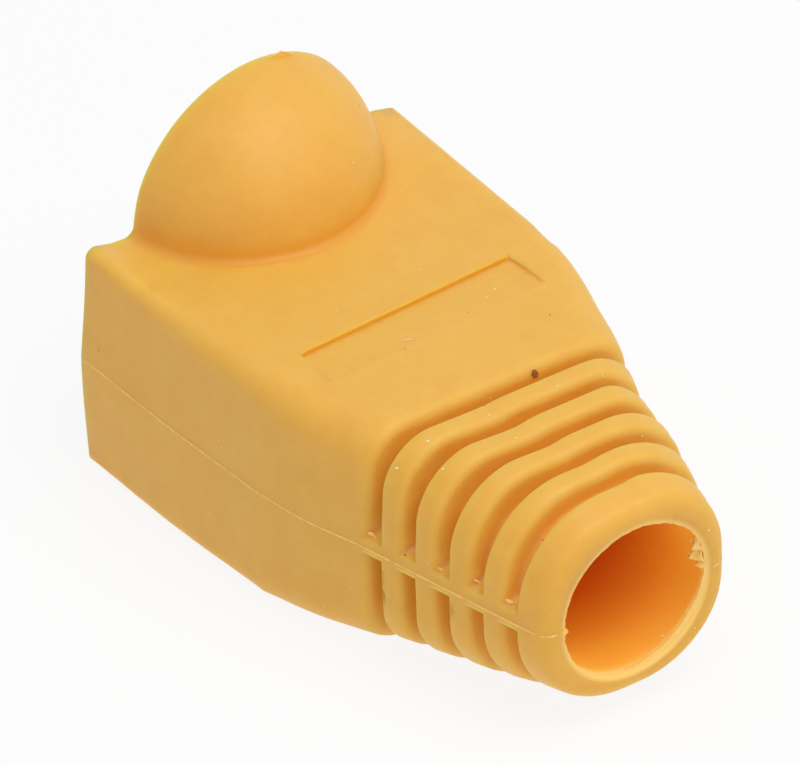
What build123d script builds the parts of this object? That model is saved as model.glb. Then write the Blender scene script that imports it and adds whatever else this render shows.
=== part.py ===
import os

from build123d import *

os.makedirs("parts", exist_ok=True)

# The boot lies along X. X = 0 is the mouth, where the plug goes in, and the cable leaves at the far end.
# Z = 0 is the parting plane of the two mould halves, which also holds the axis of plug and cable.

# Flat underside that the boot lies on, and the little that the mould's skin is trimmed by to make it
base_level = 4.6
base_trim = 0.02

# Mouth of the body, where both mould halves have their draft
mouth_half_width = 7.0
mouth_top = 4.4
mouth_draft = 0.2
mouth_corner = 0.4

# Shoulder, where the sides turn in towards the cable
shoulder_x = 9.9
shoulder_half_width = 6.76
shoulder_top = 4.58
shoulder_draft = 0.05
shoulder_corner = 0.95

# Front of the body, which rolls over into the first groove
front_x = 15.08
front_half_width = 5.56
front_top = 4.5
front_bottom = 4.5
front_draft = 0.15
front_corner = 1.9
front_roll = 0.45

# Ribs of the flexible tail, each with a crisp rear edge and a soft front edge
rib_count = 4
rib_thickness = 0.85
rib_rear_edge = 0.1
rib_front_edge = 0.34
groove_width = 0.62
groove_floor_radius = 0.2

# Round cap at the end of the tail
cap_length = 1.26
cap_half_width = 4.16
cap_half_height = 4.24
cap_draft = 0.1
cap_corner = 3.75
cap_taper = 0.4
cap_edge = 0.6

# Core that carries the ribs, a tapered sleeve round the bore
core_half_width = 4.7
core_half_height = 3.6
core_draft = 0.1
core_corner = 1.4
core_wall = 0.42
core_tip_roundness = 0.98

# Spine along the parting plane on both sides, flat below and sloping above
spine_below = 0.22
spine_above = 0.4
spine_depth = 1.3
spine_rise = 0.5

# Hood over the latch of the plug, a quarter of an ellipsoid on the top edge of the mouth
hood_length = 5.05
hood_half_width = 4.85
hood_height = 4.75
hood_wall = 0.9
hood_foot_radius = 0.3

# Socket for the plug, the funnel behind it and the bore for the cable
socket_width = 11.8
socket_height = 7.6
socket_depth = 10.0
socket_corner = 0.4
funnel_length = 2.5
bore_radius = 3.0

# Shallow label recess on top, which fades out towards the tail
recess_x = 9.6
recess_half_width = 4.6
recess_depth = 0.18
recess_length = 2.3

# Places that follow from the sizes above
rib_pitch = rib_thickness + groove_width
cap_x = front_x + rib_count * rib_pitch + groove_width
tail_end = cap_x + cap_length
funnel_end = socket_depth + funnel_length
groove_starts = [front_x + groove * rib_pitch for groove in range(rib_count + 1)]
inside = 0.5
beyond = 1.0
touching = 0.001


def cross_section(x, half_width, draft, top, bottom, corner):
    """A rounded box section whose sides lean in from the parting plane, above and below."""
    with BuildSketch(Plane.YZ.offset(x)) as section:
        with BuildLine():
            Polyline(
                (half_width, 0),
                (half_width - draft, top),
                (draft - half_width, top),
                (-half_width, 0),
                (draft - half_width, -bottom),
                (half_width - draft, -bottom),
                close=True,
            )
        make_face()
        levels = section.vertices().group_by(Axis.Y)
        fillet(levels[0] + levels[-1], corner)
    return section.sketch


def spine_profile(x, half_width):
    """Section of the spine on the +Y side, reaching past the skin and into the core."""
    outer = half_width + beyond
    inner = half_width - spine_depth
    with BuildSketch(Plane.YZ.offset(x)) as profile:
        with BuildLine():
            Polyline(
                (outer, -spine_below),
                (outer, spine_above - beyond * spine_rise),
                (inner, spine_above + spine_depth * spine_rise),
                (inner, -spine_below),
                close=True,
            )
        make_face()
    return profile.sketch


def half_dome(length, half_width, height):
    """Half of an ellipsoid on the top edge of the mouth, with its poles low and out of the way."""
    with BuildPart(Plane((0, 0, 0), x_dir=(-1, 0, -2), z_dir=(2, 0, -1))) as dome:
        Sphere(half_width)
        scale(by=(length / half_width, 1, height / half_width))
        split(bisect_by=Plane.YZ)
    return Pos(0, 0, mouth_top) * dome.part


# Outer skin of the whole moulding, before the grooves, trimmed flat below
skin_bottom = base_level + base_trim
tip_half_width = cap_half_width - cap_taper
tip_half_height = cap_half_height - cap_taper
skin_sections = [
    cross_section(0, mouth_half_width, mouth_draft, mouth_top, skin_bottom, mouth_corner),
    cross_section(
        shoulder_x, shoulder_half_width, shoulder_draft, shoulder_top, skin_bottom, shoulder_corner
    ),
    cross_section(
        front_x + groove_width / 2, front_half_width, front_draft, front_top, front_bottom, front_corner
    ),
    cross_section(
        cap_x - groove_width / 2, cap_half_width, cap_draft, cap_half_height, cap_half_height, cap_corner
    ),
    cross_section(
        tail_end, tip_half_width, cap_draft, tip_half_height, tip_half_height, cap_corner - cap_taper
    ),
]
with BuildPart() as skin:
    loft(skin_sections, ruled=True)
    split(bisect_by=Plane.XY.offset(-base_level), keep=Keep.TOP)
skin_surface = Compound(skin.faces())

# Core that the grooves stop at, from inside the body to inside the cap
core_tip_radius = bore_radius + core_wall
core_sections = [
    cross_section(
        front_x - inside, core_half_width, core_draft, core_half_height, core_half_height, core_corner
    ),
    cross_section(
        cap_x + inside,
        core_tip_radius,
        0,
        core_tip_radius,
        core_tip_radius,
        core_tip_roundness * core_tip_radius,
    ),
]
with BuildPart() as core:
    loft(core_sections, ruled=True)

# The two spines, on the skin from the body to the cap
with BuildPart() as spines:
    loft(
        [spine_profile(front_x - inside, front_half_width), spine_profile(cap_x + inside, cap_half_width)],
        ruled=True,
    )
    mirror(about=Plane.XZ)

# Tool that cuts the ring grooves down to the core, with rounded floors, and leaves the spines
with BuildPart() as groove_tool:
    for start in groove_starts:
        with BuildSketch(Plane.YZ.offset(start)):
            Rectangle(3 * mouth_half_width, 3 * mouth_half_width)
        extrude(amount=groove_width)
    add(core.part, mode=Mode.SUBTRACT)
    fillet(groove_tool.edges(Select.LAST).filter_by(Plane.YZ), groove_floor_radius)
    add(spines.part, mode=Mode.SUBTRACT)

# Hood over the latch and the hollow below it, both centred on the top edge of the mouth
hood = half_dome(hood_length, hood_half_width, hood_height)
hood_hollow = half_dome(hood_length - hood_wall, hood_half_width - hood_wall, hood_height - hood_wall)

# Hollow inside, from the socket through the funnel to the bore, with the hood's hollow above
with BuildPart() as hollow:
    with BuildSketch(Plane.YZ) as socket_outline:
        RectangleRounded(socket_width, socket_height, socket_corner)
    extrude(amount=socket_depth)
    with BuildSketch(Plane.YZ.offset(funnel_end)) as bore_outline:
        Circle(bore_radius)
    extrude(amount=tail_end - funnel_end)
    loft([Plane.YZ.offset(socket_depth) * socket_outline.sketch_local, bore_outline.sketch])
    add(hood_hollow)

# Wedge of the label recess, deep at its rear edge and level with the top at its front
with BuildPart() as recess:
    with BuildSketch(Plane.XZ):
        with BuildLine():
            Polyline(
                (recess_x, shoulder_top - recess_depth),
                (recess_x + recess_length, shoulder_top),
                (recess_x, shoulder_top + beyond),
                close=True,
            )
        make_face()
    extrude(amount=recess_half_width, both=True)


def lies_on_skin(edge):
    """Whether an edge runs along the outer skin, so that it is the crest of a groove's wall."""
    return skin_surface.distance_to(edge @ 0.5) < touching


def is_ahead_of_mouth(edge):
    """Whether an edge lies away from the mouth's own plane."""
    return edge.center().X > touching


# The moulding itself: the skin with its grooves, their softened crests, the hood and the hollow
with BuildPart() as boot:
    add(skin.part)
    fillet(boot.faces().sort_by(Axis.X)[-1].edges(), cap_edge)
    add(groove_tool.part, mode=Mode.SUBTRACT)
    crests = boot.faces().filter_by(Axis.X).edges().filter_by(lies_on_skin)
    rings = crests.filter_by_position(Axis.X, front_x, cap_x).group_by(Axis.X)
    fillet(rings[0], front_roll)
    for front_edge in rings[2::2]:
        fillet(front_edge, rib_front_edge)
    for rear_edge in rings[1::2]:
        fillet(rear_edge, rib_rear_edge)
    add(hood)
    joints = boot.edges(Select.LAST).filter_by_position(Axis.Z, mouth_top - inside, mouth_top + inside)
    fillet(joints.filter_by(is_ahead_of_mouth), hood_foot_radius)
    add(hollow.part, mode=Mode.SUBTRACT)
    add(recess.part, mode=Mode.SUBTRACT)

boot.part.label = "boot"
export_step(boot.part, "parts/boot.step")
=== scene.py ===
"""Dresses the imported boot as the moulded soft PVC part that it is, on a plain white studio floor."""

import logging
import math
from dataclasses import dataclass, field
from enum import Enum

import bmesh
import bpy
import numpy as np
from mathutils import Matrix, Vector
from mathutils.bvhtree import BVHTree


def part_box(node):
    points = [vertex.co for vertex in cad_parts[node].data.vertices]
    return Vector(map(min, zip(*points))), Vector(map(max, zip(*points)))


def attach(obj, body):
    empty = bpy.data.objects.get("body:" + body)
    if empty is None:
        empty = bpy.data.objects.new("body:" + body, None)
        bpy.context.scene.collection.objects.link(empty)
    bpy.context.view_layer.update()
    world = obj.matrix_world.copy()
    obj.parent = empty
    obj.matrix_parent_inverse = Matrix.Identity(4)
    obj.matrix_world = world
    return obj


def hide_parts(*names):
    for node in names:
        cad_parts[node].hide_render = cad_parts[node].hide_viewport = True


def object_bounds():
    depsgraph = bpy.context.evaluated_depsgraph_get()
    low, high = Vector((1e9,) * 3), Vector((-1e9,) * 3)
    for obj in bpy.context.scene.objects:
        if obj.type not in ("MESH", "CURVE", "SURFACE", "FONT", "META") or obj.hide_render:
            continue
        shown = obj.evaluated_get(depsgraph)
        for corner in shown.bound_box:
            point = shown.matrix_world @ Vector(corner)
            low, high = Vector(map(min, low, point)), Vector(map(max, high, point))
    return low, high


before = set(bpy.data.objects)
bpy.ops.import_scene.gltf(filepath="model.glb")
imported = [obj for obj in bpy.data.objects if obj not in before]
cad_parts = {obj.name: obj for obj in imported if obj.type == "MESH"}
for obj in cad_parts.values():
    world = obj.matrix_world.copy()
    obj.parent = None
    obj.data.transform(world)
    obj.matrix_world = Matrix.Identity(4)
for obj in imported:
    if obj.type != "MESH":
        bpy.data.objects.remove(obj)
CAD_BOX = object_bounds()

log = logging.getLogger("boot")
MM = 0.001
IMAGE_WIDTH, IMAGE_HEIGHT = 800, 765
BODY = "root"
CREASE_ANGLE = 40.0
# How far the soft mouth is turned about Z, as millimetres along X for each one across
MOUTH_SKEW = 0.056
# Numbers of a mix node's colour sockets, because its inputs for other types share their names
MIX_FIRST, MIX_SECOND, MIX_RESULT = 6, 7, 2


class Side(Enum):
    """The two sides of the boot, by the sign of Y."""

    NEAR = -1
    FAR = 1


def linear(hex_colour: str) -> tuple[float, float, float, float]:
    """Turns an sRGB hex colour into the linear colour that a shader takes.

    Args:
        hex_colour: Six hex digits, without a hash sign.

    Returns:
        Red, green, blue and an alpha of 1.
    """
    levels = [int(hex_colour[i : i + 2], 16) / 255 for i in (0, 2, 4)]
    red, green, blue = (v / 12.92 if v <= 0.04045 else ((v + 0.055) / 1.055) ** 2.4 for v in levels)
    return (red, green, blue, 1.0)


def add_node(tree: bpy.types.NodeTree, kind: str, links: dict | None = None, **settings) -> bpy.types.Node:
    """Adds one node with its settings and its links.

    Args:
        tree: The node tree that the node goes into.
        kind: The node's type name.
        links: Input name or index to the socket that feeds it, or to a constant value.
        settings: Properties of the node itself.

    Returns:
        The new node.
    """
    node = tree.nodes.new(kind)
    for name, value in settings.items():
        setattr(node, name, value)
    for name, source in (links or {}).items():
        if isinstance(source, bpy.types.NodeSocket):
            tree.links.new(source, node.inputs[name])
        else:
            node.inputs[name].default_value = source
    return node


def smooth_step(values: np.ndarray, low: float, high: float) -> np.ndarray:
    """Rises smoothly from 0 at low to 1 at high."""
    t = np.clip((values - low) / (high - low), 0.0, 1.0)
    return t * t * (3 - 2 * t)


def hump(values: np.ndarray, centre: float, reach: float) -> np.ndarray:
    """A smooth hump, 1 at its centre and 0 beyond its reach."""
    return np.clip(1 - ((values - centre) / reach) ** 2, 0.0, 1.0) ** 2


def humps(values: np.ndarray, bumps: tuple[tuple[float, float, float], ...]) -> np.ndarray:
    """Adds up humps, each given by its height, its centre and its reach."""
    return sum(height * hump(values, centre, reach) for height, centre, reach in bumps)


@dataclass(frozen=True)
class SolidSizes:
    """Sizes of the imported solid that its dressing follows, in millimetres in the solid's frame.

    The top of the body lies above top_level, and the tops of the ribs lie behind tail_start and
    above crest_level.
    """

    tail_end: float = CAD_BOX[1].x / MM
    bore_radius: float = 3.0
    mouth_top: float = 4.4
    shoulder_x: float = 9.9
    shoulder_top: float = 4.58
    groove_x: float = 15.39
    groove_top: float = 4.5
    hood_length: float = 5.05
    hood_half_width: float = 4.85
    hood_height: float = 4.75
    recess_start: float = 9.6
    recess_end: float = 11.9
    recess_half_width: float = 4.6
    top_level: float = 4.2
    tail_start: float = 15.3
    crest_level: float = 2.9


SOLID = SolidSizes()


@dataclass(frozen=True)
class Band:
    """A stretch of a value where something shows, whole round its centre and fading out beyond."""

    centre: float
    whole: float
    none: float
    unit: float = MM

    def share(self, tree: bpy.types.NodeTree, value: bpy.types.NodeSocket) -> bpy.types.NodeSocket:
        """Gives the share that shows at a value.

        Args:
            tree: The material's node tree.
            value: The value that is compared with the band.

        Returns:
            One near the centre, and zero from the outer reach on.
        """
        centre = self.centre * self.unit
        offset = add_node(tree, "ShaderNodeMath", {0: value, 1: centre}, operation="SUBTRACT")
        distance = add_node(tree, "ShaderNodeMath", {0: offset.outputs[0]}, operation="ABSOLUTE")
        fade = {
            "Value": distance.outputs[0],
            "From Min": self.whole * self.unit,
            "From Max": self.none * self.unit,
            "To Min": 1.0,
            "To Max": 0.0,
        }
        return add_node(tree, "ShaderNodeMapRange", fade).outputs["Result"]


def blank_material(name: str) -> tuple[bpy.types.Material, bpy.types.NodeTree, bpy.types.Node]:
    """Starts a material that has only its shader.

    Args:
        name: The material's name.

    Returns:
        The material, its node tree and its shader.
    """
    material = bpy.data.materials.new(name)
    material.use_nodes = True
    tree = material.node_tree
    return material, tree, tree.nodes["Principled BSDF"]


def mottled_material(
    name: str, colours: tuple[str, str], patch_mm: float, detail: float, roughness: float
) -> tuple[bpy.types.Material, bpy.types.Node]:
    """Makes a material whose colour wanders between two tones.

    Args:
        name: The material's name.
        colours: The two tones, as sRGB hex.
        patch_mm: Size of the patches.
        detail: How many finer layers the patches have.
        roughness: The shader's roughness.

    Returns:
        The material and its shader.
    """
    material, tree, shader = blank_material(name)
    place = add_node(tree, "ShaderNodeTexCoord").outputs["Object"]
    patches = add_node(
        tree, "ShaderNodeTexNoise", {"Vector": place, "Scale": 1 / (patch_mm * MM), "Detail": detail}
    )
    first, second = (linear(colour) for colour in colours)
    mix = {"Factor": patches.outputs["Fac"], MIX_FIRST: first, MIX_SECOND: second}
    tint = add_node(tree, "ShaderNodeMix", mix, data_type="RGBA").outputs[MIX_RESULT]
    tree.links.new(tint, shader.inputs["Base Color"])
    shader.inputs["Roughness"].default_value = roughness
    return material, shader


@dataclass(frozen=True)
class SoftPvc:
    """Plasticised PVC, injection moulded in a lightly blasted mould.

    The dye and the softener let light a little way in, so hollows and grooves glow a deeper orange
    than the faces, and the skin has the dull satin gloss of a moulded soft plastic. The bore's
    red-orange is painted light: a redder colour painted deeper in the bore, and a faint painted glow,
    an emission that stands in for light coming through its thin wall. A deeper orange is painted as
    shade into the hood's foot and the recess's rear edge. Depths are measured in from the bore's end.
    A pair of them tells where a share is whole and where it is gone.
    """

    name: str = "soft_pvc_injection_moulded"
    colour: str = "F2C056"
    ior: float = 1.45
    roughness: float = 0.5
    roughness_spread: float = 0.06
    subsurface: float = 0.85
    scatter_mm: tuple[float, float, float] = (1.1, 0.9, 0.12)
    cloud_colour: str = "EAB042"
    cloud_range: tuple[float, float] = (0.1, 0.9)
    cloud_mm: float = 1.1
    cloud_detail: float = 6.0
    cloud_roughness: float = 0.62
    # A lightly blasted mould leaves grains of about 0.05 mm, drawn a little coarser so that they show
    grain_mm: float = 0.08
    grain_detail: float = 3.0
    grain_height_mm: float = 0.009
    grain_strength: float = 0.5
    # Painted red: a redder colour painted deeper in the bore, standing in for light coming through its thin
    # wall
    painted_bore_red_colour: str = "FF9218"
    bore_fade_mm: float = 0.15
    lip_mm: float = 4.6
    red_mm: tuple[float, float] = (4.6, 8.5)
    # Painted glow: a faint emission in the bore that stands in for light coming through the cap's thin wall
    painted_glow_colour: str = "FFBC2C"
    painted_glow_strength: float = 0.155
    painted_glow_mm: tuple[float, float] = (1.4, 4.9)
    rim_colour: str = "FCD078"
    rim_mm: float = 0.18
    # Painted shade: a deeper orange painted into the hood's foot and along the recess's rear edge
    painted_crease_shade_colour: str = "EEAE38"
    # Where the painted crease shade lies: the ring round the hood's foot, in shares of the hood's length
    # and half width, its height, and the place, the width and the height of the recess's rear edge
    foot_ring: Band = Band(1.015, 0.015, 0.06, unit=1.0)
    foot_height: Band = Band(4.55, 0.2, 0.6)
    recess_edge: Band = Band(SOLID.recess_start, 0.05, 0.15)
    recess_width: Band = Band(0.0, SOLID.recess_half_width, SOLID.recess_half_width + 0.1)
    recess_height: Band = Band(4.5, 0.3, 0.4)

    def bore_shares(
        self, tree: bpy.types.NodeTree, place: bpy.types.NodeSocket
    ) -> tuple[bpy.types.NodeSocket, bpy.types.NodeSocket, bpy.types.NodeSocket]:
        """Gives the shares of the bore's painted red, of its thin pale rim and of its painted glow at a
        place.

        Args:
            tree: The material's node tree.
            place: Coordinates in metres in the part's frame.

        Returns:
            The painted red, a redder colour standing in for light through the thin wall, one in the middle
            of the bore and zero at its lip, at the funnel and outside, the rim, one at the bore's edge and
            zero a little away from it, and the painted glow, an emission standing in for light coming
            through the wall of the cap.
        """
        axis = add_node(tree, "ShaderNodeVectorMath", {0: place, 1: (0.0, 1.0, 1.0)}, operation="MULTIPLY")
        reach = add_node(tree, "ShaderNodeVectorMath", {0: axis.outputs["Vector"]}, operation="LENGTH")
        along = add_node(tree, "ShaderNodeSeparateXYZ", {"Vector": place})
        radius, depth = reach.outputs["Value"], along.outputs["X"]
        wall, end = SOLID.bore_radius, SOLID.tail_end
        edges = (
            (radius, wall, wall + self.bore_fade_mm),
            (depth, end - self.lip_mm, end),
            (radius, wall, wall + self.rim_mm),
            (depth, end - self.rim_mm, end - 2 * self.rim_mm),
            (depth, end - self.painted_glow_mm[0], end - self.painted_glow_mm[1]),
            (depth, end - self.red_mm[0], end - self.red_mm[1]),
        )
        shares = []
        for value, whole, none in edges:
            fade = {"Value": value, "From Min": whole * MM, "From Max": none * MM}
            fade |= {"To Min": 1.0, "To Max": 0.0}
            shares.append(add_node(tree, "ShaderNodeMapRange", fade).outputs["Result"])
        inside, painted_red_by_depth, at_edge, at_end, painted_glow_through_cap, ahead_of_funnel = shares
        # The painted red: whole deep in the bore, gone at its lip and at the funnel
        red = add_node(tree, "ShaderNodeMath", {0: painted_red_by_depth, 1: ahead_of_funnel}, operation="MULTIPLY")
        pairs = ((inside, red.outputs[0]), (at_edge, at_end), (inside, painted_glow_through_cap))
        products = [add_node(tree, "ShaderNodeMath", {0: a, 1: b}, operation="MULTIPLY") for a, b in pairs]
        return tuple(product.outputs[0] for product in products)

    def painted_crease_shade_share(self, tree: bpy.types.NodeTree, place: bpy.types.NodeSocket) -> bpy.types.NodeSocket:
        """Gives the share of the painted crease shade, a deeper orange painted in as shade at the creases.

        Args:
            tree: The material's node tree.
            place: Coordinates in metres in the part's frame.

        Returns:
            The share, one in the foot of the hood and along the rear edge of the label recess.
        """
        parts = add_node(tree, "ShaderNodeSeparateXYZ", {"Vector": place})
        across, height = parts.outputs["Y"], parts.outputs["Z"]
        skewed = {0: place, 1: (1.0, MOUTH_SKEW, 0.0)}
        along = add_node(tree, "ShaderNodeVectorMath", skewed, operation="DOT_PRODUCT").outputs["Value"]
        length, half_width = SOLID.hood_length * MM, SOLID.hood_half_width * MM
        along_share = add_node(tree, "ShaderNodeMath", {0: along, 1: length}, operation="DIVIDE")
        across_share = add_node(tree, "ShaderNodeMath", {0: across, 1: half_width}, operation="DIVIDE")
        ring = add_node(
            tree, "ShaderNodeCombineXYZ", {"X": along_share.outputs[0], "Y": across_share.outputs[0]}
        )
        reach = add_node(tree, "ShaderNodeVectorMath", {0: ring.outputs["Vector"]}, operation="LENGTH")
        on_ring = self.foot_ring.share(tree, reach.outputs["Value"])
        at_foot = self.foot_height.share(tree, height)
        foot = add_node(tree, "ShaderNodeMath", {0: on_ring, 1: at_foot}, operation="MULTIPLY")
        on_edge = self.recess_edge.share(tree, along)
        within = self.recess_width.share(tree, across)
        on_top = self.recess_height.share(tree, height)
        line = add_node(tree, "ShaderNodeMath", {0: on_edge, 1: within}, operation="MULTIPLY")
        line = add_node(tree, "ShaderNodeMath", {0: line.outputs[0], 1: on_top}, operation="MULTIPLY")
        either = {0: foot.outputs[0], 1: line.outputs[0]}
        return add_node(tree, "ShaderNodeMath", either, operation="MAXIMUM").outputs[0]

    def material(self) -> bpy.types.Material:
        """Builds the material, with clouds of uneven dye, painted crease shade, the bore's painted red and
        painted glow, and a fine blasted grain.

        Returns:
            The material.
        """
        material, tree, shader = blank_material(self.name)
        place = add_node(tree, "ShaderNodeTexCoord").outputs["Object"]
        clouds = add_node(
            tree,
            "ShaderNodeTexNoise",
            {
                "Vector": place,
                "Scale": 1 / (self.cloud_mm * MM),
                "Detail": self.cloud_detail,
                "Roughness": self.cloud_roughness,
            },
        )
        grain = add_node(
            tree,
            "ShaderNodeTexNoise",
            {"Vector": place, "Scale": 1 / (self.grain_mm * MM), "Detail": self.grain_detail},
        ).outputs["Fac"]
        # depth carries the painted red deep in the bore, and glow the painted glow of the bore
        depth, rim, glow = self.bore_shares(tree, place)
        low, high = self.cloud_range
        patches = add_node(
            tree, "ShaderNodeMapRange", {"Value": clouds.outputs["Fac"], "From Min": low, "From Max": high}
        )
        layers = (
            (patches.outputs["Result"], self.cloud_colour),
            # Painted shade in the creases
            (self.painted_crease_shade_share(tree, place), self.painted_crease_shade_colour),
            (rim, self.rim_colour),
            # Painted red deep in the bore, standing in for light coming through its thin wall
            (depth, self.painted_bore_red_colour),
        )
        tint = linear(self.colour)
        for share, colour in layers:
            mix = {"Factor": share, MIX_FIRST: tint, MIX_SECOND: linear(colour)}
            tint = add_node(tree, "ShaderNodeMix", mix, data_type="RGBA").outputs[MIX_RESULT]
        # Painted glow: a faint emission that stands in for light coming through the cap's thin wall
        painted_shine_through = add_node(
            tree, "ShaderNodeMath", {0: glow, 1: self.painted_glow_strength}, operation="MULTIPLY"
        )
        low, high = self.roughness - self.roughness_spread, self.roughness + self.roughness_spread
        gloss = add_node(tree, "ShaderNodeMapRange", {"Value": grain, "To Min": low, "To Max": high})
        relief = add_node(
            tree,
            "ShaderNodeBump",
            {"Height": grain, "Strength": self.grain_strength, "Distance": self.grain_height_mm * MM},
        )
        softness = add_node(
            tree, "ShaderNodeMapRange", {"Value": rim, "To Min": self.subsurface, "To Max": 0.0}
        )
        tree.links.new(tint, shader.inputs["Base Color"])
        tree.links.new(painted_shine_through.outputs[0], shader.inputs["Emission Strength"])
        tree.links.new(gloss.outputs["Result"], shader.inputs["Roughness"])
        tree.links.new(relief.outputs["Normal"], shader.inputs["Normal"])
        tree.links.new(softness.outputs["Result"], shader.inputs["Subsurface Weight"])
        shader.inputs["Emission Color"].default_value = linear(self.painted_glow_colour)
        shader.inputs["IOR"].default_value = self.ior
        shader.inputs["Subsurface Radius"].default_value = self.scatter_mm
        shader.inputs["Subsurface Scale"].default_value = MM
        return material


@dataclass(frozen=True)
class ThinFlash:
    """PVC squeezed out between the mould halves, so thin that it looks pale and almost clear, with a faint
    painted glow that lightens the shade in its crevices.
    """

    name: str = "thin_pvc_flash"
    colour: str = "FFDF8C"
    pale_colour: str = "F8C254"
    # Painted glow: a faint emission that lightens the shade in the flash's crevices
    painted_glow_colour: str = "FFC84C"
    painted_glow_strength: float = 0.07
    roughness: float = 0.42
    streak_mm: float = 0.25
    streak_detail: float = 3.0

    def material(self) -> bpy.types.Material:
        """Builds the material, with uneven streaks where the flash is thinner and a faint painted glow.

        Returns:
            The material.
        """
        colours = (self.colour, self.pale_colour)
        material, shader = mottled_material(
            self.name, colours, self.streak_mm, self.streak_detail, self.roughness
        )
        shader.inputs["Emission Color"].default_value = linear(self.painted_glow_colour)
        shader.inputs["Emission Strength"].default_value = self.painted_glow_strength
        return material


@dataclass(frozen=True)
class Grit:
    """A foreign grain moulded in or stuck on: chalky lint when pale, scorched PVC when dark."""

    name: str
    colour: str
    fleck_colour: str
    roughness: float = 0.8
    fleck_mm: float = 0.03
    fleck_detail: float = 2.0

    def material(self) -> bpy.types.Material:
        """Builds the material, with flecks of a second tone."""
        colours = (self.colour, self.fleck_colour)
        return mottled_material(self.name, colours, self.fleck_mm, self.fleck_detail, self.roughness)[0]


def dress_mesh(mesh: bpy.types.Mesh, material: bpy.types.Material) -> None:
    """Smooths a mesh except over its sharp edges, and gives it its finish.

    Args:
        mesh: The mesh of a piece.
        material: The finish.
    """
    mesh.polygons.foreach_set("use_smooth", [True] * len(mesh.polygons))
    mesh.set_sharp_from_angle(angle=math.radians(CREASE_ANGLE))
    mesh.materials.append(material)


def add_piece(name: str, points: list, faces: list, material: bpy.types.Material) -> bpy.types.Object:
    """Makes a smooth mesh piece from points in millimetres and lets it ride on the part.

    Args:
        name: The piece's name.
        points: Places in millimetres.
        faces: Corner numbers of each face.
        material: The finish.

    Returns:
        The new object.
    """
    mesh = bpy.data.meshes.new(name)
    mesh.from_pydata([tuple(c * MM for c in point) for point in points], [], faces)
    mesh.validate()
    outward = bmesh.new()
    outward.from_mesh(mesh)
    bmesh.ops.recalc_face_normals(outward, faces=outward.faces)
    outward.to_mesh(mesh)
    outward.free()
    dress_mesh(mesh, material)
    piece = bpy.data.objects.new(name, mesh)
    bpy.context.scene.collection.objects.link(piece)
    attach(piece, BODY)
    log.info("%s: %d faces", name, len(mesh.polygons))
    return piece


def tube(path: list[Vector], radii: list[float], sides: int = 6) -> tuple[list, list]:
    """Wraps a closed thin tube round a path.

    Args:
        path: Centre points in millimetres.
        radii: The tube's radius at each point.
        sides: Corners of its section.

    Returns:
        Points and faces of the tube.
    """
    points, faces = [], []
    for i, (centre, radius) in enumerate(zip(path, radii)):
        ahead = (path[min(i + 1, len(path) - 1)] - path[max(i - 1, 0)]).normalized()
        across = ahead.orthogonal().normalized() if abs(ahead.z) > 0.9 else ahead.cross(Vector((0, 0, 1)))
        across.normalize()
        over = across.cross(ahead).normalized()
        for k in range(sides):
            angle = 2 * math.pi * k / sides
            points.append(centre + radius * (math.cos(angle) * across + math.sin(angle) * over))
    for i in range(len(path) - 1):
        for k in range(sides):
            a, b = i * sides + k, i * sides + (k + 1) % sides
            faces.append((a, b, b + sides, a + sides))
    faces.append(tuple(reversed(range(sides))))
    faces.append(tuple(range(len(points) - sides, len(points))))
    return points, faces


def thin_sheet(front: list[list[Vector]], back: list[list[Vector]]) -> tuple[list, list]:
    """Closes two grids of points, one behind the other, into a thin sheet.

    Args:
        front: Rows of points on the front.
        back: The same rows behind them.

    Returns:
        Points and faces of the sheet.
    """
    rows, columns = len(front), len(front[0])
    size = rows * columns
    points = [spot for row in front + back for spot in row]
    faces = []
    for row in range(rows - 1):
        for column in range(columns - 1):
            corner = row * columns + column
            face = (corner, corner + 1, corner + columns + 1, corner + columns)
            faces += [face, tuple(size + number for number in reversed(face))]
    rim = [column for column in range(columns)]
    rim += [row * columns + columns - 1 for row in range(1, rows)]
    rim += [size - 1 - column for column in range(1, columns)]
    rim += [row * columns for row in range(rows - 2, 0, -1)]
    for here, there in zip(rim, rim[1:] + rim[:1]):
        faces.append((there, here, here + size, there + size))
    return points, faces


class Skin:
    """The surface of the finished moulding, for placing small things on it."""

    def __init__(self, piece: bpy.types.Object) -> None:
        """Reads a finished mesh.

        Args:
            piece: The moulding.
        """
        mesh = piece.data
        places = [vertex.co / MM for vertex in mesh.vertices]
        self.tree = BVHTree.FromPolygons(places, [tuple(face.vertices) for face in mesh.polygons])

    def hit(self, start: Vector, direction: Vector) -> tuple[Vector, Vector] | None:
        """Finds where a ray first meets the surface.

        Args:
            start: Where the ray starts, in millimetres.
            direction: Where it goes.

        Returns:
            The place and its normal, or None where the ray misses.
        """
        place, normal, _, _ = self.tree.ray_cast(start, direction)
        return None if place is None else (place, normal)


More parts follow.
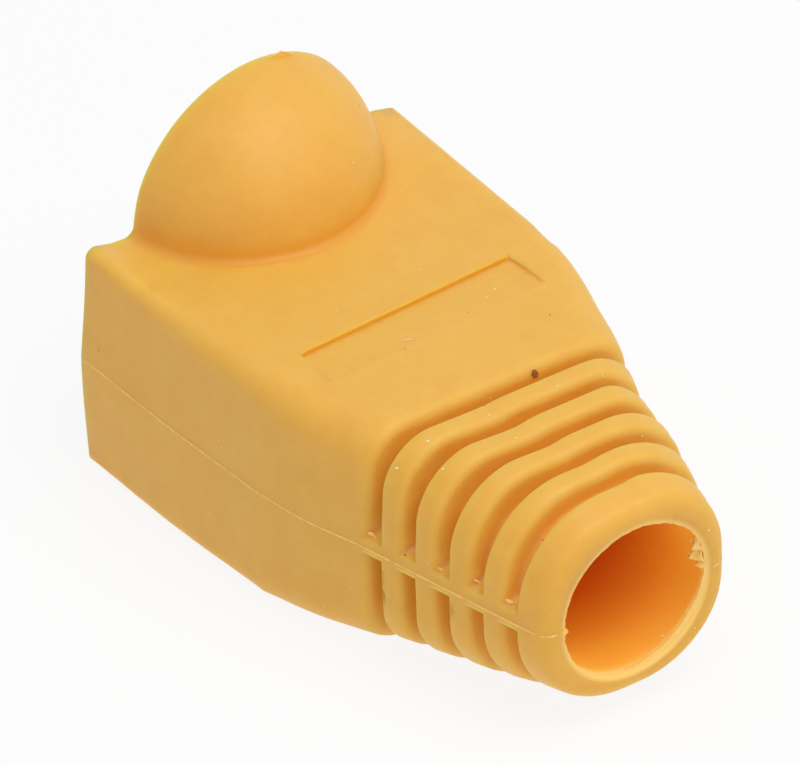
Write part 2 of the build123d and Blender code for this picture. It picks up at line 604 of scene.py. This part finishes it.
@dataclass(frozen=True)
class Warp:
    """The small unevenness of this one soft moulding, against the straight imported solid.

    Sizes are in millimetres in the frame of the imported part. A share rises from none to whole over
    a span. Each bump is a hump with its height, its centre and its reach.
    """

    # The body: its mouth, its hood, its sides and the dent in its recess
    side_span: tuple[float, float] = (3.5, 5.5)
    mouth_span: tuple[float, float] = (2.5, 5.5)
    skew_span: tuple[float, float] = (10.0, 15.0)
    hood_lean: float = 0.24
    hood_drop: float = 0.09
    hood_shift: float = 0.08
    hood_shift_span: tuple[float, float] = (4.2, 4.7)
    near_bumps: tuple[tuple[float, float, float], ...] = ((0.12, 5.0, 5.0), (0.16, 12.5, 2.7))
    far_bumps: tuple[tuple[float, float, float], ...] = (
        (0.045, 11.2, 1.6),
        (-0.09, 9.5, 1.4),
        (-0.081, 13.9, 2.2),
    )
    mouth_bumps: tuple[tuple[float, float, float], ...] = ((0.1, -1.0, 4.0),)
    mouth_bump_span: tuple[float, float] = (0.0, 6.0)
    mouth_tilt: float = 0.055
    tilt_width_span: tuple[float, float] = (5.2, 6.7)
    tilt_start_span: tuple[float, float] = (3.9, 4.4)
    tilt_end_span: tuple[float, float] = (4.6, 6.0)
    dent_bumps: tuple[tuple[float, float, float], ...] = ((0.04, 10.95, 1.1),)
    recess_margin: float = 0.01
    recess_least_depth: float = 0.004
    # The tail: its lift below, its pull on the far side and the sink of its crests
    tail_lift: float = 0.18
    lift_span: tuple[float, float] = (14.6, 15.8)
    lift_bumps: tuple[tuple[float, float, float], ...] = ((0.072, 15.9, 1.3), (-0.063, 19.6, 1.6))
    lift_depth_span: tuple[float, float] = (0.0, 4.0)
    pull_bumps: tuple[tuple[float, float, float], ...] = ((0.3, 16.6, 2.8),)
    pull_width_span: tuple[float, float] = (2.5, 4.5)
    pull_height_span: tuple[float, float] = (0.3, 2.3)
    pull_drop: float = 0.4
    sink_depth: float = 0.12
    sink_start: float = -3.6
    sink_end: float = -1.0
    sink_end_slope: float = 0.25
    sink_end_half_span: float = 0.45
    rib_span: tuple[float, float] = (14.8, 16.8)
    crest_span: tuple[float, float] = (SOLID.crest_level, SOLID.crest_level + 0.8)

    def moves(self, points: np.ndarray) -> np.ndarray:
        """Gives how far the soft part's points lie from those of the straight moulding.

        Args:
            points: Places in millimetres, one row each.

        Returns:
            The moves, one row each.
        """
        x, y, z = points.T
        return self.body_moves(x, y, z) + self.tail_moves(x, y, z)

    def on_recess_floor(self, x: np.ndarray, y: np.ndarray, z: np.ndarray) -> np.ndarray:
        """Tells which points lie on the floor of the label recess, below the straight line of the top.

        Args:
            x: Places along the boot.
            y: Places across it.
            z: Heights.

        Returns:
            True or false for each point.
        """
        places = (0.0, SOLID.shoulder_x, SOLID.groove_x)
        top = np.interp(x, places, (SOLID.mouth_top, SOLID.shoulder_top, SOLID.groove_top))
        within = np.abs(y) < SOLID.recess_half_width + self.recess_margin
        return within & (z > SOLID.top_level) & (z < top - self.recess_least_depth)

    def body_moves(self, x: np.ndarray, y: np.ndarray, z: np.ndarray) -> np.ndarray:
        """The warp of the body: a skewed mouth, a leaning hood and sides that bow out.

        Args:
            x: Places along the boot.
            y: Places across it.
            z: Heights.

        Returns:
            The moves, one row each.
        """
        near, far = smooth_step(-y, *self.side_span), smooth_step(y, *self.side_span)
        at_mouth = 1 - smooth_step(x, *self.mouth_span)
        skew = -MOUTH_SKEW * y * (1 - smooth_step(x, *self.skew_span))
        rise = np.clip((z - SOLID.mouth_top) / SOLID.hood_height, 0.0, 1.0)
        lean = self.hood_lean * rise + self.hood_shift * smooth_step(z, *self.hood_shift_span) * at_mouth
        near_bow = humps(x, self.near_bumps)
        near_bow += humps(z, self.mouth_bumps) * (1 - smooth_step(x, *self.mouth_bump_span))
        far_bow = humps(x, self.far_bumps)
        tilt = self.mouth_tilt * y * (1 - smooth_step(np.abs(y), *self.tilt_width_span)) * at_mouth
        tilt *= smooth_step(z, *self.tilt_start_span) * (1 - smooth_step(z, *self.tilt_end_span))
        drop = self.hood_drop * rise + humps(x, self.dent_bumps) * self.on_recess_floor(x, y, z)
        return np.stack([skew, lean - near * near_bow + far * far_bow, tilt - drop], axis=1)

    def tail_moves(self, x: np.ndarray, y: np.ndarray, z: np.ndarray) -> np.ndarray:
        """The warp of the tail: lifted below, drawn in on the far side, its crests slightly sunk.

        Args:
            x: Places along the boot.
            y: Places across it.
            z: Heights.

        Returns:
            The moves, one row each.
        """
        lift = self.tail_lift * smooth_step(x, *self.lift_span) + humps(x, self.lift_bumps)
        lift *= smooth_step(-z, *self.lift_depth_span)
        pull = humps(x, self.pull_bumps) * smooth_step(y, *self.pull_width_span)
        pull *= smooth_step(z, *self.pull_height_span)
        end = self.sink_end + self.sink_end_slope * (x - SOLID.tail_start)
        low_side = 1 - smooth_step(y, end - self.sink_end_half_span, end + self.sink_end_half_span)
        fades_out = smooth_step(y, self.sink_start, end - self.sink_end_half_span)
        on_ribs = smooth_step(x, *self.rib_span) * smooth_step(z, *self.crest_span)
        sink = self.sink_depth * low_side * fades_out * on_ribs
        return np.stack([np.zeros_like(x), -pull, lift - sink - self.pull_drop * pull], axis=1)


@dataclass
class Boot:
    """The moulding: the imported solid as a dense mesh, with the warp of the soft part.

    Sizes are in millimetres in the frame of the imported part.
    """

    finish: SoftPvc = field(default_factory=SoftPvc)
    warp: Warp = field(default_factory=Warp)
    weld_distance: float = 1e-4
    coarse_edge: float = 1.0
    fine_edge: float = 0.35
    split_rounds: int = 4
    recess_surround: float = 0.5

    def needs_detail(self, edge: bmesh.types.BMEdge) -> bool:
        """Tells whether an edge lies on top of the tail's ribs or in the label recess.

        Args:
            edge: The edge, in metres.

        Returns:
            Whether its middle lies there.
        """
        middle = (edge.verts[0].co + edge.verts[1].co) / (2 * MM)
        first, last = SOLID.recess_start - self.recess_surround, SOLID.recess_end + self.recess_surround
        on_crest = middle.x > SOLID.tail_start and middle.z > SOLID.crest_level
        return on_crest or (first < middle.x < last and middle.z > SOLID.top_level)

    def split_long(self, mesh: bmesh.types.BMesh, longest: float, fine_only: bool) -> None:
        """Splits the edges that are longer than a limit.

        Args:
            mesh: The mesh to refine.
            longest: The limit in millimetres.
            fine_only: Whether to refine only the tops of the ribs and the label recess.
        """
        for _ in range(self.split_rounds):
            long_edges = [edge for edge in mesh.edges if edge.calc_length() > longest * MM]
            if fine_only:
                long_edges = [edge for edge in long_edges if self.needs_detail(edge)]
            bmesh.ops.subdivide_edges(mesh, edges=long_edges, cuts=1)
            wide_faces = [face for face in mesh.faces if len(face.verts) > 3]
            bmesh.ops.triangulate(mesh, faces=wide_faces)

    def dense_mesh(self, source: bpy.types.Object) -> bmesh.types.BMesh:
        """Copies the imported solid's mesh, welds it and refines it.

        Args:
            source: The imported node's object.

        Returns:
            The refined mesh.
        """
        mesh = bmesh.new()
        mesh.from_mesh(source.data)
        bmesh.ops.remove_doubles(mesh, verts=mesh.verts, dist=self.weld_distance * MM)
        self.split_long(mesh, self.coarse_edge, fine_only=False)
        self.split_long(mesh, self.fine_edge, fine_only=True)
        return mesh

    def build(self, source: bpy.types.Object) -> bpy.types.Object:
        """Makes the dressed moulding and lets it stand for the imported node.

        Args:
            source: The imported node's object.

        Returns:
            The moulding.
        """
        dense = self.dense_mesh(source)
        mesh = bpy.data.meshes.new("boot_moulding")
        dense.to_mesh(mesh)
        dense.free()
        flat = np.empty(3 * len(mesh.vertices), dtype=np.float32)
        mesh.vertices.foreach_get("co", flat)
        points = flat.reshape(-1, 3).astype(float) / MM
        settled = (points + self.warp.moves(points)) * MM
        mesh.vertices.foreach_set("co", settled.astype(np.float32).ravel())
        dress_mesh(mesh, self.finish.material())
        piece = bpy.data.objects.new("boot_moulding", mesh)
        bpy.context.scene.collection.objects.link(piece)
        weights = piece.modifiers.new("face_weights", "WEIGHTED_NORMAL")
        weights.keep_sharp = True
        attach(piece, BODY)
        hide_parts("boot")
        log.info("%s: %d faces", piece.name, len(mesh.polygons))
        return piece


@dataclass
class PartingRidge:
    """The thin ridge of flash along the parting line on both sides, sizes in millimetres."""

    skin: Skin
    seed: int = 7
    radius: float = 0.032
    swell: float = 0.25
    swell_limits: tuple[float, float] = (0.5, 1.5)
    end_share: float = 0.2
    step: float = 0.15
    sunk: float = 0.012
    start: float = 0.6
    cap_margin: float = 0.35
    cap_start: float = 3.9
    widest_gap: float = 1.0
    beside: float = 20.0
    behind: float = 40.0

    def path(self, side: Side) -> list[Vector]:
        """Follows the parting line from the mouth to the bore.

        Args:
            side: The side of the boot.

        Returns:
            Places a little below the skin.
        """
        path = []
        for x in np.arange(self.start, SOLID.tail_end - self.cap_margin, self.step):
            outside = Vector((x, side.value * self.beside, 0.0))
            found = self.skin.hit(outside, Vector((0.0, -side.value, 0.0)))
            if found:
                path.append(found[0] - found[1] * self.sunk)
        for reach in np.arange(self.cap_start, SOLID.bore_radius, -self.step):
            outside = Vector((self.behind, side.value * reach, 0.0))
            found = self.skin.hit(outside, Vector((-1.0, 0.0, 0.0)))
            if found and (found[0] - path[-1]).length < self.widest_gap:
                path.append(found[0] - found[1] * self.sunk)
        return path

    def build(self, material: bpy.types.Material) -> None:
        """Lays the ridge along both sides.

        Args:
            material: The finish.
        """
        for side in Side:
            rng = np.random.default_rng(self.seed + side.value)
            path = self.path(side)
            swell = 1 + self.swell * rng.standard_normal(len(path))
            radii = [self.radius * float(np.clip(share, *self.swell_limits)) for share in swell]
            radii[0] = radii[-1] = self.end_share * self.radius
            points, faces = tube(path, radii)
            add_piece(f"parting_flash_{side.name.lower()}", points, faces, material)


@dataclass
class BoreLip:
    """The thin ragged lip of flash on the bore's edge, thicker along one stretch of it.

    Sizes are in millimetres, and turns in radians from the far side.
    """

    seed: int = 7
    steps: int = 240
    reach: float = 0.06
    reach_share: float = 0.75
    ragged_share: float = 0.5
    share_limits: tuple[float, float] = (0.15, 2.0)
    waves: tuple[tuple[int, float], ...] = ((3, 0.35), (7, 0.3), (17, 0.3), (41, 0.35), (83, 0.3))
    thickness: float = 0.05
    thick_gain: float = 5.0
    thick_reach: float = 0.18
    thick_turn: float = -0.95
    thick_span: float = 1.6
    sunk: float = 0.05
    proud: float = 0.002
    slope: float = 0.03
    thick_slope: float = 0.1
    root: float = 0.15

    def section(self, length: float, share: float) -> tuple[tuple[float, float], ...]:
        """Gives the corners of the lip's section at one place round the bore.

        Args:
            length: How far the lip reaches in over the bore.
            share: How far it is thickened there, from 0 to 1.

        Returns:
            The radius and the place along the boot of each corner.
        """
        wall, tip = SOLID.bore_radius + self.sunk, SOLID.bore_radius - length
        face = SOLID.tail_end + self.proud
        front = face - self.slope - self.thick_slope * share
        back = SOLID.tail_end - self.thickness * (1 + self.thick_gain * share)
        return ((wall, face), (tip, front), (tip, back), (wall, back - self.root))

    def build(self, material: bpy.types.Material) -> None:
        """Lines the bore's edge with the lip.

        Args:
            material: The finish.
        """
        rng = np.random.default_rng(self.seed)
        turns = np.linspace(0, 2 * np.pi, self.steps, endpoint=False)
        ragged = np.zeros(self.steps)
        for wave, height in self.waves:
            ragged += height * np.sin(wave * turns + rng.uniform(0, 2 * np.pi))
        wrapped = (turns - self.thick_turn + np.pi) % (2 * np.pi) - np.pi
        thick = hump(wrapped, 0.0, self.thick_span)
        shares = np.clip(self.reach_share + self.ragged_share * ragged, *self.share_limits)
        lengths = self.reach * shares + self.thick_reach * thick
        points, faces = [], []
        for turn, length, share in zip(turns, lengths, thick):
            for radius, x in self.section(length, share):
                points.append((x, radius * math.cos(turn), radius * math.sin(turn)))
        for i in range(self.steps):
            j = (i + 1) % self.steps
            for k in range(4):
                m = (k + 1) % 4
                faces.append((4 * i + k, 4 * i + m, 4 * j + m, 4 * j + k))
        add_piece("bore_lip_flash", points, faces, material)


@dataclass
class TornFlash:
    """A torn, crumpled sheet of flash on the bore's wall, inside the far end of the parting line.

    Sizes are in millimetres, and turns in radians from the far side.
    """

    seed: int = 12
    turns: tuple[float, float] = (-0.04, 0.5)
    steps: int = 12
    strips: int = 5
    width: float = 0.6
    width_at_ends: float = 0.45
    width_spread: tuple[float, float] = (0.75, 1.15)
    height: float = 0.6
    height_at_ends: float = 0.4
    height_spread: tuple[float, float] = (0.25, 1.0)
    fold_start: float = 0.15
    fold_length: float = 0.7
    thickness: float = 0.05
    sunk: float = 0.03
    inset: float = 0.04
    waver: float = 0.04

    def build(self, material: bpy.types.Material) -> None:
        """Makes the crumpled sheet.

        Args:
            material: The finish.
        """
        rng = np.random.default_rng(self.seed)
        front, back = [], []
        first, last = self.turns
        for step in range(self.steps):
            share = step / (self.steps - 1)
            bow = math.sin(math.pi * share)
            turn = first + share * (last - first)
            wall = Vector((0.0, math.cos(turn), math.sin(turn)))
            width = self.width * (self.width_at_ends + (1 - self.width_at_ends) * bow)
            width *= rng.uniform(*self.width_spread)
            front.append([])
            back.append([])
            for strip in range(self.strips):
                across = strip / (self.strips - 1)
                rise = self.height * math.sin(math.pi * (self.fold_start + self.fold_length * across))
                rise *= rng.uniform(*self.height_spread)
                rise *= self.height_at_ends + (1 - self.height_at_ends) * bow
                spot = wall * (SOLID.bore_radius + self.sunk - rise)
                spot.x = SOLID.tail_end - self.inset - across * width + rng.uniform(-self.waver, self.waver)
                front[-1].append(spot)
                back[-1].append(spot + wall * self.thickness)
        add_piece("torn_bore_flash", *thin_sheet(front, back), material)


@dataclass
class FlashScraps:
    """Small crumpled scraps of flash on the hood's rim, at the bore and on the tail's shelves.

    Sizes are in millimetres. A scrap has a foot, a rise to its highest point and half its length
    along the skin. The shelves' scraps are given by their place in the view and their size.
    """

    skin: Skin
    view: "ViewPoint"
    seed: int = 7
    thickness: float = 0.05
    rim_px: tuple[float, float] = (281.0, 56.0)
    rim_rise: tuple[float, float, float] = (0.0, 0.0, 0.21)
    rim_along: tuple[float, float, float] = (0.0, 0.5, -0.13)
    bore_inset: float = 0.05
    bore_rise: tuple[float, float, float] = (0.12, 0.14, 0.1)
    bore_along: tuple[float, float, float] = (0.2, -0.1, 0.0)
    shelf_px: tuple[tuple[float, float, float], ...] = (
        (507.0, 600.0, 0.26),
        (476.0, 582.0, 0.16),
        (440.0, 570.0, 0.12),
        (371.0, 536.0, 0.2),
    )
    shelf_turn: float = 0.3
    levels: tuple[float, ...] = (-0.15, 0.35, 0.7, 1.0)
    reaches: tuple[float, ...] = (-1.0, -0.5, 0.0, 0.5, 1.0)
    roundness: float = 0.7
    narrowing: float = 0.25
    height_spread: tuple[float, float] = (0.75, 1.1)
    waver: float = 0.8

    def scrap(self, place: Vector, rise: Vector, along: Vector, seed: int) -> tuple[list, list]:
        """Makes a crumpled scrap of flash that stands on the skin.

        Args:
            place: Middle of its foot.
            rise: From the foot to its highest point.
            along: From the foot's middle to its end.
            seed: Seed of its crumples.

        Returns:
            Points and faces.
        """
        rng = np.random.default_rng(self.seed + seed)
        thick = rise.cross(along).normalized() * self.thickness
        front = []
        for level in self.levels:
            row = []
            for reach in self.reaches:
                height = level * (1 - self.roundness * reach * reach) * rng.uniform(*self.height_spread)
                waver = thick * rng.uniform(-self.waver, self.waver) * max(level, 0.0)
                row.append(place + rise * height + along * reach * (1 - self.narrowing * level) + waver)
            front.append(row)
        back = [[spot + thick for spot in row] for row in front]
        return thin_sheet(front, back)

    def build(self, material: bpy.types.Material) -> None:
        """Stands the scraps on the skin.

        Args:
            material: The finish.
        """
        rim, _ = self.skin.hit(*self.view.ray(*self.rim_px))
        bore_end = Vector((SOLID.tail_end - self.bore_inset, -SOLID.bore_radius, 0.0))
        scraps = [
            (rim, Vector(self.rim_rise), Vector(self.rim_along)),
            (bore_end, Vector(self.bore_rise), Vector(self.bore_along)),
        ]
        for across_px, down_px, size in self.shelf_px:
            found = self.skin.hit(*self.view.ray(across_px, down_px))
            if found:
                scraps.append((found[0], found[1] * size, Vector((size, self.shelf_turn * size, 0.0))))
        for seed, scrap in enumerate(scraps):
            add_piece(f"flash_nib_{seed + 1}", *self.scrap(*scrap, seed), material)


@dataclass
class MouldFlash:
    """All the thin flash that the mould halves leave."""

    skin: Skin
    view: "ViewPoint"
    finish: ThinFlash = field(default_factory=ThinFlash)

    def build(self) -> None:
        """Makes the parting line's ridge, the bore's lip, the torn sheet and the scraps."""
        material = self.finish.material()
        PartingRidge(self.skin).build(material)
        BoreLip().build(material)
        TornFlash().build(material)
        FlashScraps(self.skin, self.view).build(material)


@dataclass
class Grains:
    """Lint and scorched grains in the moulding's skin, scattered as they are on such cheap parts.

    Sizes are in millimetres, and places that the photo shows are in pixels of the view.
    """

    skin: Skin
    view: "ViewPoint"
    pale: Grit = Grit("chalky_lint", "FFF4DC", "F6DFAE")
    dark: Grit = Grit("scorched_pvc", "B0702E", "7A4216")
    seed: int = 11
    pale_count: int = 70
    dark_count: int = 20
    smallest: float = 0.012
    largest: float = 0.032
    aim_spans: tuple[tuple[float, float], ...] = ((1.0, 22.0), (-5.5, 5.5), (-3.5, 4.0))
    ray_length: float = 40.0
    lowest: float = -4.4
    stretch_spread: tuple[float, float] = (0.7, 1.5)
    flatness: float = 0.6
    lump_spread: tuple[float, float] = (0.85, 1.15)
    marked_spread: tuple[float, float] = (0.8, 1.2)
    pale_px: tuple[tuple[float, float], ...] = (
        (490.0, 398.0),
        (489.0, 415.0),
        (557.0, 386.0),
        (428.0, 441.0),
        (397.0, 468.0),
        (443.0, 469.0),
        (603.0, 376.0),
        (516.0, 438.0),
        (642.0, 436.0),
        (495.0, 289.0),
        (709.0, 530.0),
        (695.0, 628.0),
        (663.0, 636.0),
    )
    dark_px: tuple[tuple[float, float], ...] = (
        (468.0, 313.0),
        (550.0, 315.0),
        (405.0, 349.0),
        (543.0, 540.0),
        (645.0, 560.0),
        (405.0, 555.0),
    )
    pale_size: float = 0.045
    dark_size: float = 0.03
    scorched_px: tuple[float, float] = (535.0, 374.0)
    scorched_size: float = 0.18
    scratch_px: tuple[tuple[float, float], ...] = ((404.0, 340.0), (409.0, 339.0), (414.0, 339.5))
    scratch_radius: float = 0.016

    def grain(
        self, place: Vector, normal: Vector, size: float, rng: np.random.Generator
    ) -> tuple[list, list]:
        """Makes one small rounded grain, half sunk in the skin.

        Args:
            place: Where it lies.
            normal: The skin's normal there.
            size: Its half width.
            rng: Source of its random shape.

        Returns:
            Points and faces.
        """
        ball = bmesh.new()
        bmesh.ops.create_icosphere(ball, subdivisions=1, radius=1.0)
        turn = normal.to_track_quat("Z", "Y")
        stretch = rng.uniform(*self.stretch_spread)
        points = []
        for vertex in ball.verts:
            shape = Vector((vertex.co.x * stretch, vertex.co.y, vertex.co.z * self.flatness)) * size
            points.append(place + turn @ (shape * rng.uniform(*self.lump_spread)))
        faces = [tuple(vertex.index for vertex in face.verts) for face in ball.faces]
        ball.free()
        return points, faces

    def scatter(
        self,
        name: str,
        count: int,
        marked_px: tuple[tuple[float, float], ...],
        marked_size: float,
        material: bpy.types.Material,
        rng: np.random.Generator,
    ) -> None:
        """Scatters grains over the skin by rays from all round, and adds those that have a known place.

        Args:
            name: The piece's name.
            count: How many grains lie anywhere.
            marked_px: Where the others are seen, in pixels of the view.
            marked_size: Their size in millimetres.
            material: The finish.
            rng: Source of the random places.
        """
        spots = []
        while len(spots) < count:
            aim = Vector([rng.uniform(*span) for span in self.aim_spans])
            outward = Vector(rng.standard_normal(3)).normalized()
            found = self.skin.hit(aim + outward * self.ray_length, -outward)
            if found and found[0].z > self.lowest:
                spots.append((*found, rng.uniform(self.smallest, self.largest)))
        for spot_px in marked_px:
            found = self.skin.hit(*self.view.ray(*spot_px))
            if found:
                spots.append((*found, marked_size * rng.uniform(*self.marked_spread)))
        points, faces = [], []
        for place, normal, size in spots:
            more_points, more_faces = self.grain(place, normal, size, rng)
            faces += [tuple(corner + len(points) for corner in face) for face in more_faces]
            points += more_points
        add_piece(name, points, faces, material)

    def build(self) -> None:
        """Scatters the grains, and places the scorched one in the first groove and the scratch."""
        rng = np.random.default_rng(self.seed)
        pale, dark = self.pale.material(), self.dark.material()
        self.scatter("pale_grains", self.pale_count, self.pale_px, self.pale_size, pale, rng)
        self.scatter("dark_grains", self.dark_count, self.dark_px, self.dark_size, dark, rng)
        place, normal = self.skin.hit(*self.view.ray(*self.scorched_px))
        add_piece("scorched_grain", *self.grain(place, normal, self.scorched_size, rng), dark)
        scratch = [self.skin.hit(*self.view.ray(*spot_px))[0] for spot_px in self.scratch_px]
        add_piece("pale_scratch", *tube(scratch, [self.scratch_radius] * len(scratch)), pale)


@dataclass
class Studio:
    """A white floor under soft light from all round, with one broad lamp overhead."""

    white: str = "FFFFFF"
    sky_strength: float = 0.43
    lamp_size_mm: float = 160.0
    lamp_place_mm: tuple[float, float, float] = (65.0, 15.0, 170.0)
    lamp_aim_mm: tuple[float, float, float] = (10.0, 0.0, 0.0)
    lamp_power: float = 0.2
    floor_half_mm: float = 400.0
    floor_colour: str = "F4F4F4"
    floor_roughness: float = 0.9
    floor_glow: float = 0.5
    shadow_share: float = 0.12

    def white_where_seen(self, tree: bpy.types.NodeTree) -> bpy.types.NodeSocket:
        """Tells the rays that look at the backdrop from those that light the part.

        Args:
            tree: The node tree of the sky or of the floor.

        Returns:
            One where the camera, a reflection or a transmission looks, and zero for diffuse light.
        """
        path = add_node(tree, "ShaderNodeLightPath")
        either = add_node(
            tree,
            "ShaderNodeMath",
            {0: path.outputs["Is Camera Ray"], 1: path.outputs["Is Glossy Ray"]},
            operation="MAXIMUM",
        )
        return add_node(
            tree,
            "ShaderNodeMath",
            {0: either.outputs[0], 1: path.outputs["Is Transmission Ray"]},
            operation="MAXIMUM",
        ).outputs[0]

    def build_sky(self) -> None:
        """Lights the part evenly from all round, and shows white behind it."""
        world = bpy.data.worlds.new("studio_sky")
        world.use_nodes = True
        tree = world.node_tree
        seen = self.white_where_seen(tree)
        strength = add_node(
            tree, "ShaderNodeMapRange", {"Value": seen, "To Min": self.sky_strength, "To Max": 1.0}
        )
        tree.links.new(strength.outputs["Result"], tree.nodes["Background"].inputs["Strength"])
        tree.nodes["Background"].inputs["Color"].default_value = linear(self.white)
        bpy.context.scene.world = world

    def build_lamp(self) -> None:
        """Hangs the broad lamp over the part."""
        light = bpy.data.lights.new("overhead_lamp", "AREA")
        light.shape = "DISK"
        light.size = self.lamp_size_mm * MM
        light.energy = self.lamp_power
        lamp = bpy.data.objects.new("overhead_lamp", light)
        lamp.location = Vector(self.lamp_place_mm) * MM
        lamp.rotation_mode = "QUATERNION"
        aim = Vector(self.lamp_aim_mm) * MM - lamp.location
        lamp.rotation_quaternion = aim.to_track_quat("-Z", "Y")
        bpy.context.scene.collection.objects.link(lamp)

    def build_floor(self, level: float) -> None:
        """Lays the floor at the part's lowest point.

        Args:
            level: Height of the floor in metres.
        """
        mesh = bpy.data.meshes.new("studio_floor")
        half = self.floor_half_mm * MM
        corners = [(-half, -half, level), (half, -half, level), (half, half, level), (-half, half, level)]
        mesh.from_pydata(corners, [], [(0, 1, 2, 3)])
        material, tree, shader = blank_material("white_card")
        shader.inputs["Base Color"].default_value = linear(self.floor_colour)
        shader.inputs["Roughness"].default_value = self.floor_roughness
        glow = add_node(tree, "ShaderNodeEmission", {"Color": linear(self.white), "Strength": 1.0})
        seen = self.white_where_seen(tree)
        shares = {"Value": seen, "To Min": self.floor_glow, "To Max": 1 - self.shadow_share}
        share = add_node(tree, "ShaderNodeMapRange", shares)
        mix = add_node(
            tree,
            "ShaderNodeMixShader",
            {0: share.outputs["Result"], 1: shader.outputs["BSDF"], 2: glow.outputs["Emission"]},
        )
        tree.links.new(mix.outputs[0], tree.nodes["Material Output"].inputs["Surface"])
        mesh.materials.append(material)
        floor = bpy.data.objects.new("studio_floor", mesh)
        bpy.context.scene.collection.objects.link(floor)

    def build(self, level: float) -> None:
        """Sets the sky, the lamp, the floor and the view transform.

        Args:
            level: Height of the floor in metres.
        """
        self.build_sky()
        self.build_lamp()
        self.build_floor(level)
        bpy.context.scene.view_settings.view_transform = "Standard"


@dataclass(frozen=True)
class ViewPoint:
    """The photograph's view: a long lens above the cable end, on the -Y side.

    The focal length is in pixels of the image's width, and the shift of the part from the
    camera's axis is in millimetres to the right, up and forwards.
    """

    focal_px: float = 16077.881
    azimuth: float = 54.492
    elevation: float = 35.851
    roll: float = -0.332
    right_mm: float = -5.406
    up_mm: float = 3.497
    distance_mm: float = 554.688
    sensor_mm: float = 36.0
    clip_m: tuple[float, float] = (0.01, 10.0)

    def axes(self) -> tuple[Vector, Vector, Vector]:
        """Works out how the camera is turned.

        Returns:
            The view's directions to the right, up and back.
        """
        turn, lift, tip = (math.radians(a) for a in (self.azimuth, self.elevation, self.roll))
        back = Vector((math.sin(turn) * math.cos(lift), -math.cos(turn) * math.cos(lift), math.sin(lift)))
        level = Vector((math.cos(turn), math.sin(turn), 0.0))
        upward = back.cross(level)
        right = math.cos(tip) * level + math.sin(tip) * upward
        up = -math.sin(tip) * level + math.cos(tip) * upward
        return right, up, back

    def place(self) -> Vector:
        """Where the camera stands, in millimetres."""
        right, up, back = self.axes()
        return back * self.distance_mm - right * self.right_mm - up * self.up_mm

    def ray(self, across_px: float, down_px: float) -> tuple[Vector, Vector]:
        """The line of sight through a pixel.

        Args:
            across_px: Pixels from the image's left edge.
            down_px: Pixels from its top edge.

        Returns:
            The camera's place and the direction of sight.
        """
        right, up, back = self.axes()
        across = (across_px - IMAGE_WIDTH / 2) / self.focal_px
        upward = (IMAGE_HEIGHT / 2 - down_px) / self.focal_px
        return self.place(), (right * across + up * upward - back).normalized()

    def build(self) -> None:
        """Makes the camera and turns it to the part."""
        lens = bpy.data.cameras.new("view_point")
        lens.sensor_width = self.sensor_mm
        lens.lens = self.focal_px / IMAGE_WIDTH * self.sensor_mm
        lens.clip_start, lens.clip_end = self.clip_m
        camera = bpy.data.objects.new("view_point", lens)
        axes = Matrix(self.axes()).transposed().to_4x4()
        camera.matrix_world = Matrix.Translation(self.place() * MM) @ axes
        bpy.context.scene.collection.objects.link(camera)
        bpy.context.scene.camera = camera


def main() -> None:
    """Builds the studio, the view and the moulding."""
    logging.basicConfig(level=logging.INFO, format="%(name)s: %(message)s")
    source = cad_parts["boot"]
    low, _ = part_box("boot")
    Studio().build(low.z)
    view = ViewPoint()
    view.build()
    moulding = Boot().build(source)
    skin = Skin(moulding)
    MouldFlash(skin, view).build()
    Grains(skin, view).build()


if __name__ == "__main__":
    main()
